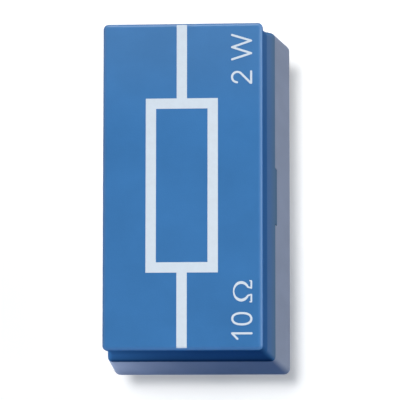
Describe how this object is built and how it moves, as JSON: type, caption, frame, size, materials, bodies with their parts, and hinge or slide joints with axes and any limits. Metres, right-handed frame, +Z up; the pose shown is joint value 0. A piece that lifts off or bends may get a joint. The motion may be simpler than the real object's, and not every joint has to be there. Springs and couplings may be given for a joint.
{
  "type": "plug-in resistor module",
  "caption": "Plug-in resistor module: tapered translucent housing with a blue cover marked with a resistor symbol, and slotted plugs underneath for a student circuit board.",
  "frame": {"origin": "centre of the housing's flat underside, which seats on the circuit board", "axes": "+Z up to the cover, -Z along the plugs, +Y along the module's length and the line of the plugs, +X across its width"},
  "size_m": [0.0262, 0.0494, 0.054],
  "materials": {
    "cover_plastic": "satin moulded",
    "housing_plastic": "translucent, murky",
    "white_print": "printed",
    "plug_metal": "nickel plated, turned",
    "tag_metal": "tinned",
    "washer_metal": "zinc plated",
    "nut_metal": "nickel plated",
    "resistor_coating": "lacquered",
    "lead_metal": "tinned wire",
    "brown_band": "lacquered",
    "black_band": "lacquered",
    "gold_band": "metallic lacquer",
    "solder_metal": "solder, bright"
  },
  "bodies": {
    "root": {"cover": "cover_plastic", "housing": "housing_plastic", "circuit_symbol": "white_print", "plug_a": "plug_metal", "plug_b": "plug_metal", "tag_a": "tag_metal", "tag_b": "tag_metal", "washer_a": "washer_metal", "washer_b": "washer_metal", "nut_a": "nut_metal", "nut_b": "nut_metal", "resistor_body": "resistor_coating", "resistor_lead_a": "lead_metal", "resistor_lead_b": "lead_metal", "bands_brown": "brown_band", "bands_black": "black_band", "band_gold": "gold_band", "solder_a": "solder_metal", "solder_b": "solder_metal"}
  },
  "joints": []
}
